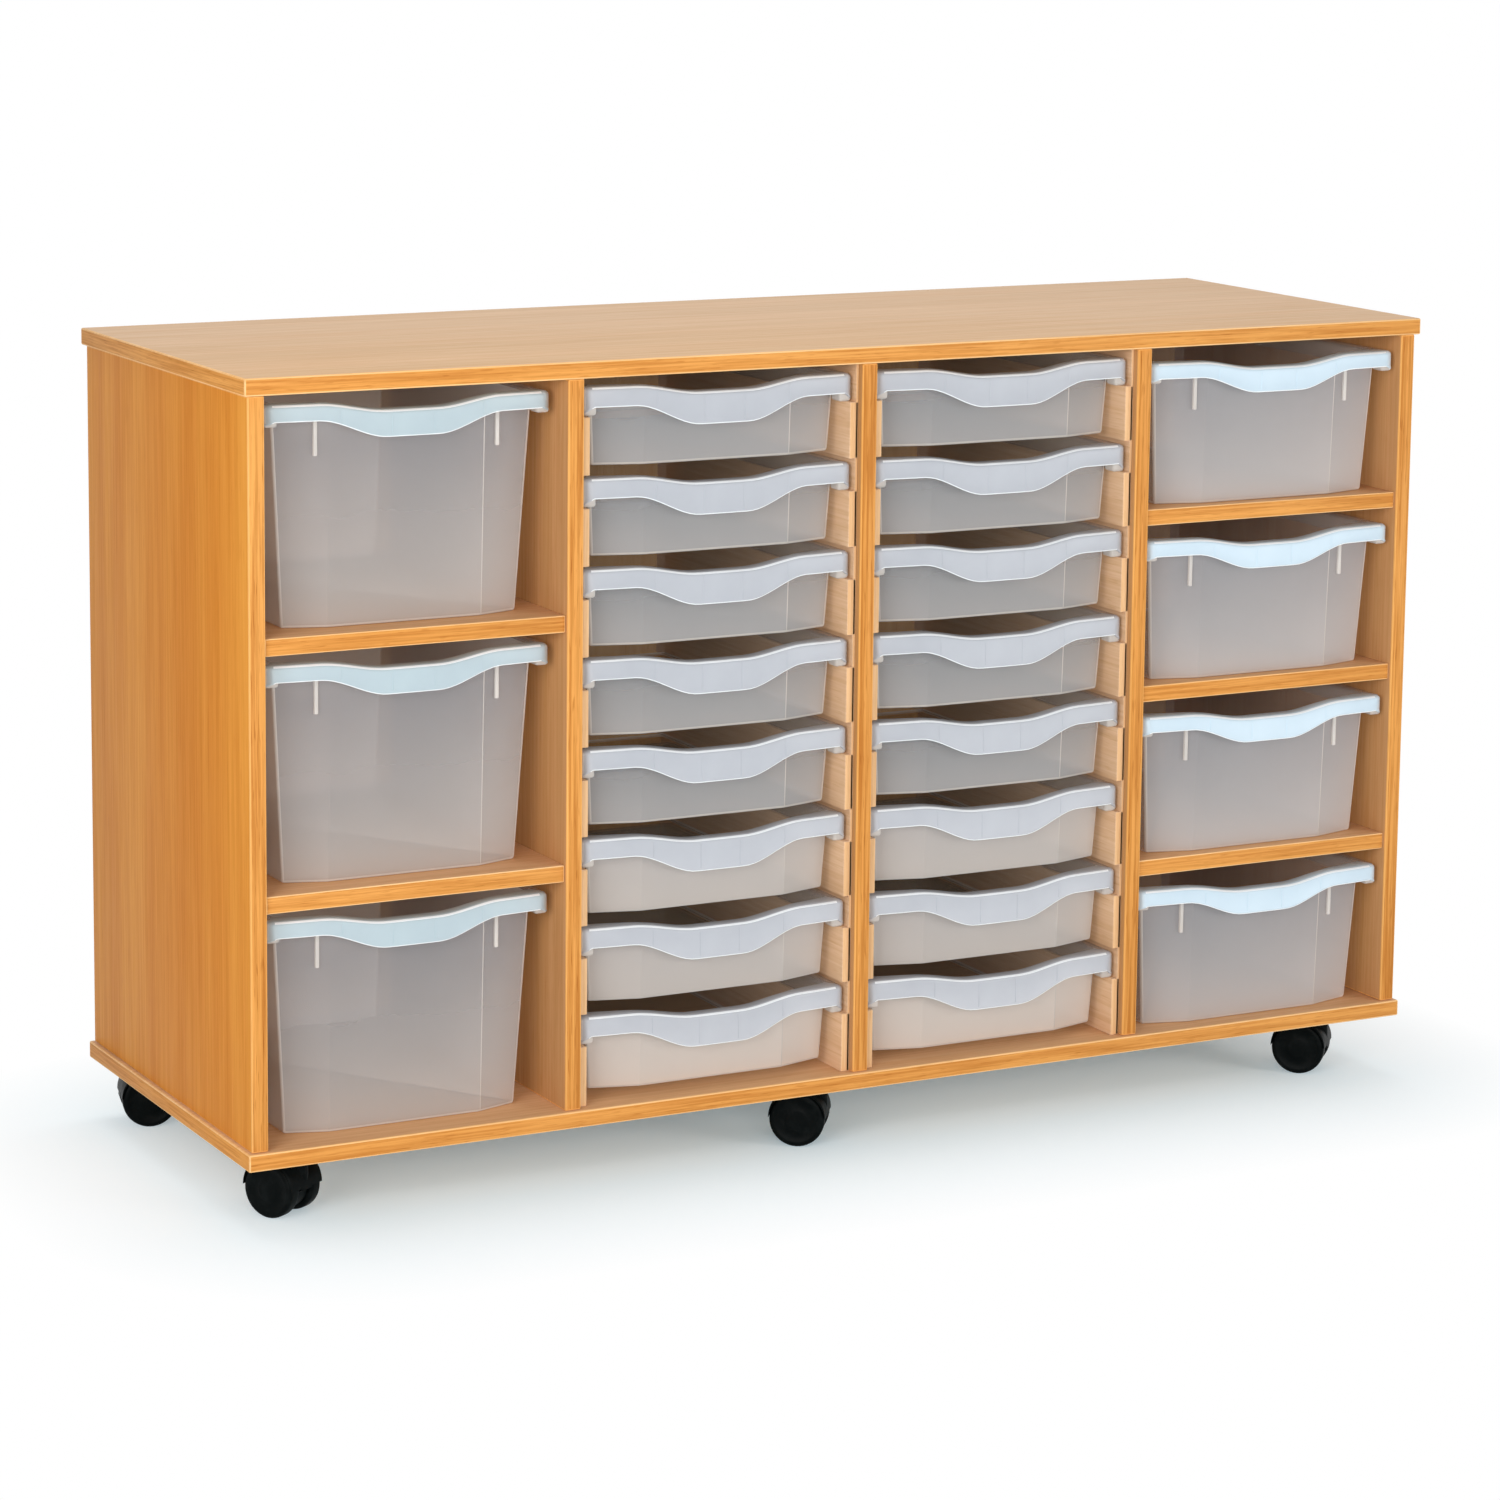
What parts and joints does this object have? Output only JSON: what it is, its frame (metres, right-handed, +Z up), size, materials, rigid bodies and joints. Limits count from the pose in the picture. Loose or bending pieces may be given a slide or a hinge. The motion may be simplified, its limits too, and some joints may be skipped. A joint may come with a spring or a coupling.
{
  "type": "tray storage unit",
  "caption": "Mobile classroom tray storage unit with a beech-effect carcass on twin-wheel castors and frosted extra deep, shallow and deep trays that slide out",
  "frame": {"origin": "on the floor under the middle of the unit, at the middle of its bounding box's bottom", "axes": "+X runs along the unit to the right as seen from the front, +Y runs to the back, +Z is up; the trays open to -Y"},
  "size_m": [1.4, 0.475, 0.8675],
  "materials": {
    "beech_board": "beech-effect melamine board with a lipped edge",
    "back_board": "beech-effect melamine back board",
    "runner_board": "pale beech runner strips, grooved",
    "frosted_tray": "frosted translucent polypropylene",
    "black_plastic": "moulded black nylon, slightly glossy",
    "plated_steel": "zinc plated"
  },
  "bodies": {
    "carcass": {"top_panel": "beech_board", "base_panel": "beech_board", "side_panel_left": "beech_board", "side_panel_right": "beech_board", "divider_left": "beech_board", "divider_centre": "beech_board", "divider_right": "beech_board", "left_shelf_1": "beech_board", "left_shelf_2": "beech_board", "right_shelf_1": "beech_board", "right_shelf_2": "beech_board", "right_shelf_3": "beech_board", "back_panel": "back_board", "inner_left_runner_left": "runner_board", "inner_left_runner_right": "runner_board", "inner_right_runner_left": "runner_board", "inner_right_runner_right": "runner_board", "castor_front_left_plate": "plated_steel", "castor_front_middle_plate": "plated_steel", "castor_front_right_plate": "plated_steel", "castor_rear_left_plate": "plated_steel", "castor_rear_middle_plate": "plated_steel", "castor_rear_right_plate": "plated_steel"},
    "extra_deep_tray_1": {"extra_deep_tray_1": "frosted_tray"},
    "extra_deep_tray_2": {"extra_deep_tray_2": "frosted_tray"},
    "extra_deep_tray_3": {"extra_deep_tray_3": "frosted_tray"},
    "shallow_left_tray_1": {"shallow_left_tray_1": "frosted_tray"},
    "shallow_left_tray_2": {"shallow_left_tray_2": "frosted_tray"},
    "shallow_left_tray_3": {"shallow_left_tray_3": "frosted_tray"},
    "shallow_left_tray_4": {"shallow_left_tray_4": "frosted_tray"},
    "shallow_left_tray_5": {"shallow_left_tray_5": "frosted_tray"},
    "shallow_left_tray_6": {"shallow_left_tray_6": "frosted_tray"},
    "shallow_left_tray_7": {"shallow_left_tray_7": "frosted_tray"},
    "shallow_left_tray_8": {"shallow_left_tray_8": "frosted_tray"},
    "shallow_right_tray_1": {"shallow_right_tray_1": "frosted_tray"},
    "shallow_right_tray_2": {"shallow_right_tray_2": "frosted_tray"},
    "shallow_right_tray_3": {"shallow_right_tray_3": "frosted_tray"},
    "shallow_right_tray_4": {"shallow_right_tray_4": "frosted_tray"},
    "shallow_right_tray_5": {"shallow_right_tray_5": "frosted_tray"},
    "shallow_right_tray_6": {"shallow_right_tray_6": "frosted_tray"},
    "shallow_right_tray_7": {"shallow_right_tray_7": "frosted_tray"},
    "shallow_right_tray_8": {"shallow_right_tray_8": "frosted_tray"},
    "deep_tray_1": {"deep_tray_1": "frosted_tray"},
    "deep_tray_2": {"deep_tray_2": "frosted_tray"},
    "deep_tray_3": {"deep_tray_3": "frosted_tray"},
    "deep_tray_4": {"deep_tray_4": "frosted_tray"},
    "castor_front_left_swivel": {"castor_front_left_hood": "black_plastic"},
    "castor_front_left_wheel_pair": {"castor_front_left_wheels": "black_plastic"},
    "castor_front_middle_swivel": {"castor_front_middle_hood": "black_plastic"},
    "castor_front_middle_wheel_pair": {"castor_front_middle_wheels": "black_plastic"},
    "castor_front_right_swivel": {"castor_front_right_hood": "black_plastic"},
    "castor_front_right_wheel_pair": {"castor_front_right_wheels": "black_plastic"},
    "castor_rear_left_swivel": {"castor_rear_left_hood": "black_plastic"},
    "castor_rear_left_wheel_pair": {"castor_rear_left_wheels": "black_plastic"},
    "castor_rear_middle_swivel": {"castor_rear_middle_hood": "black_plastic"},
    "castor_rear_middle_wheel_pair": {"castor_rear_middle_wheels": "black_plastic"},
    "castor_rear_right_swivel": {"castor_rear_right_hood": "black_plastic"},
    "castor_rear_right_wheel_pair": {"castor_rear_right_wheels": "black_plastic"}
  },
  "joints": [
    {"name": "extra_deep_tray_slide_1", "type": "slide", "parent": "carcass", "child": "extra_deep_tray_1", "axis": [0, -1, 0], "range_m": [0, 0.4]},
    {"name": "extra_deep_tray_slide_2", "type": "slide", "parent": "carcass", "child": "extra_deep_tray_2", "axis": [0, -1, 0], "range_m": [0, 0.4]},
    {"name": "extra_deep_tray_slide_3", "type": "slide", "parent": "carcass", "child": "extra_deep_tray_3", "axis": [0, -1, 0], "range_m": [0, 0.4]},
    {"name": "shallow_left_tray_slide_1", "type": "slide", "parent": "carcass", "child": "shallow_left_tray_1", "axis": [0, -1, 0], "range_m": [0, 0.4]},
    {"name": "shallow_left_tray_slide_2", "type": "slide", "parent": "carcass", "child": "shallow_left_tray_2", "axis": [0, -1, 0], "range_m": [0, 0.4]},
    {"name": "shallow_left_tray_slide_3", "type": "slide", "parent": "carcass", "child": "shallow_left_tray_3", "axis": [0, -1, 0], "range_m": [0, 0.4]},
    {"name": "shallow_left_tray_slide_4", "type": "slide", "parent": "carcass", "child": "shallow_left_tray_4", "axis": [0, -1, 0], "range_m": [0, 0.4]},
    {"name": "shallow_left_tray_slide_5", "type": "slide", "parent": "carcass", "child": "shallow_left_tray_5", "axis": [0, -1, 0], "range_m": [0, 0.4]},
    {"name": "shallow_left_tray_slide_6", "type": "slide", "parent": "carcass", "child": "shallow_left_tray_6", "axis": [0, -1, 0], "range_m": [0, 0.4]},
    {"name": "shallow_left_tray_slide_7", "type": "slide", "parent": "carcass", "child": "shallow_left_tray_7", "axis": [0, -1, 0], "range_m": [0, 0.4]},
    {"name": "shallow_left_tray_slide_8", "type": "slide", "parent": "carcass", "child": "shallow_left_tray_8", "axis": [0, -1, 0], "range_m": [0, 0.4]},
    {"name": "shallow_right_tray_slide_1", "type": "slide", "parent": "carcass", "child": "shallow_right_tray_1", "axis": [0, -1, 0], "range_m": [0, 0.4]},
    {"name": "shallow_right_tray_slide_2", "type": "slide", "parent": "carcass", "child": "shallow_right_tray_2", "axis": [0, -1, 0], "range_m": [0, 0.4]},
    {"name": "shallow_right_tray_slide_3", "type": "slide", "parent": "carcass", "child": "shallow_right_tray_3", "axis": [0, -1, 0], "range_m": [0, 0.4]},
    {"name": "shallow_right_tray_slide_4", "type": "slide", "parent": "carcass", "child": "shallow_right_tray_4", "axis": [0, -1, 0], "range_m": [0, 0.4]},
    {"name": "shallow_right_tray_slide_5", "type": "slide", "parent": "carcass", "child": "shallow_right_tray_5", "axis": [0, -1, 0], "range_m": [0, 0.4]},
    {"name": "shallow_right_tray_slide_6", "type": "slide", "parent": "carcass", "child": "shallow_right_tray_6", "axis": [0, -1, 0], "range_m": [0, 0.4]},
    {"name": "shallow_right_tray_slide_7", "type": "slide", "parent": "carcass", "child": "shallow_right_tray_7", "axis": [0, -1, 0], "range_m": [0, 0.4]},
    {"name": "shallow_right_tray_slide_8", "type": "slide", "parent": "carcass", "child": "shallow_right_tray_8", "axis": [0, -1, 0], "range_m": [0, 0.4]},
    {"name": "deep_tray_slide_1", "type": "slide", "parent": "carcass", "child": "deep_tray_1", "axis": [0, -1, 0], "range_m": [0, 0.4]},
    {"name": "deep_tray_slide_2", "type": "slide", "parent": "carcass", "child": "deep_tray_2", "axis": [0, -1, 0], "range_m": [0, 0.4]},
    {"name": "deep_tray_slide_3", "type": "slide", "parent": "carcass", "child": "deep_tray_3", "axis": [0, -1, 0], "range_m": [0, 0.4]},
    {"name": "deep_tray_slide_4", "type": "slide", "parent": "carcass", "child": "deep_tray_4", "axis": [0, -1, 0], "range_m": [0, 0.4]},
    {"name": "castor_front_left_swivel_hinge", "type": "hinge", "parent": "carcass", "child": "castor_front_left_swivel", "pos_m": [-0.627, -0.19, 0.045], "axis": [0, 0, 1], "continuous": true},
    {"name": "castor_front_left_axle_hinge", "type": "hinge", "parent": "castor_front_left_swivel", "child": "castor_front_left_wheel_pair", "pos_m": [-0.63833, -0.17114, 0.02991], "axis": [0.8572, 0.515, 0], "continuous": true},
    {"name": "castor_front_middle_swivel_hinge", "type": "hinge", "parent": "carcass", "child": "castor_front_middle_swivel", "pos_m": [-0.025, -0.19, 0.045], "axis": [0, 0, 1], "continuous": true},
    {"name": "castor_front_middle_axle_hinge", "type": "hinge", "parent": "castor_front_middle_swivel", "child": "castor_front_middle_wheel_pair", "pos_m": [-0.0428, -0.17707, 0.02991], "axis": [0.5878, 0.809, 0], "continuous": true},
    {"name": "castor_front_right_swivel_hinge", "type": "hinge", "parent": "carcass", "child": "castor_front_right_swivel", "pos_m": [0.627, -0.19, 0.045], "axis": [0, 0, 1], "continuous": true},
    {"name": "castor_front_right_axle_hinge", "type": "hinge", "parent": "castor_front_right_swivel", "child": "castor_front_right_wheel_pair", "pos_m": [0.61118, -0.17472, 0.02991], "axis": [0.6947, 0.7193, 0], "continuous": true},
    {"name": "castor_rear_left_swivel_hinge", "type": "hinge", "parent": "carcass", "child": "castor_rear_left_swivel", "pos_m": [-0.627, 0.19, 0.045], "axis": [0, 0, 1], "continuous": true},
    {"name": "castor_rear_left_axle_hinge", "type": "hinge", "parent": "castor_rear_left_swivel", "child": "castor_rear_left_wheel_pair", "pos_m": [-0.64835, 0.19532, 0.02991], "axis": [0.2419, 0.9703, 0], "continuous": true},
    {"name": "castor_rear_middle_swivel_hinge", "type": "hinge", "parent": "carcass", "child": "castor_rear_middle_swivel", "pos_m": [-0.025, 0.19, 0.045], "axis": [0, 0, 1], "continuous": true},
    {"name": "castor_rear_middle_axle_hinge", "type": "hinge", "parent": "castor_rear_middle_swivel", "child": "castor_rear_middle_wheel_pair", "pos_m": [-0.04667, 0.18618, 0.02991], "axis": [-0.1736, 0.9848, 0], "continuous": true},
    {"name": "castor_rear_right_swivel_hinge", "type": "hinge", "parent": "carcass", "child": "castor_rear_right_swivel", "pos_m": [0.627, 0.19, 0.045], "axis": [0, 0, 1], "continuous": true},
    {"name": "castor_rear_right_axle_hinge", "type": "hinge", "parent": "castor_rear_right_swivel", "child": "castor_rear_right_wheel_pair", "pos_m": [0.60706, 0.1807, 0.02991], "axis": [-0.4226, 0.9063, 0], "continuous": true}
  ]
}
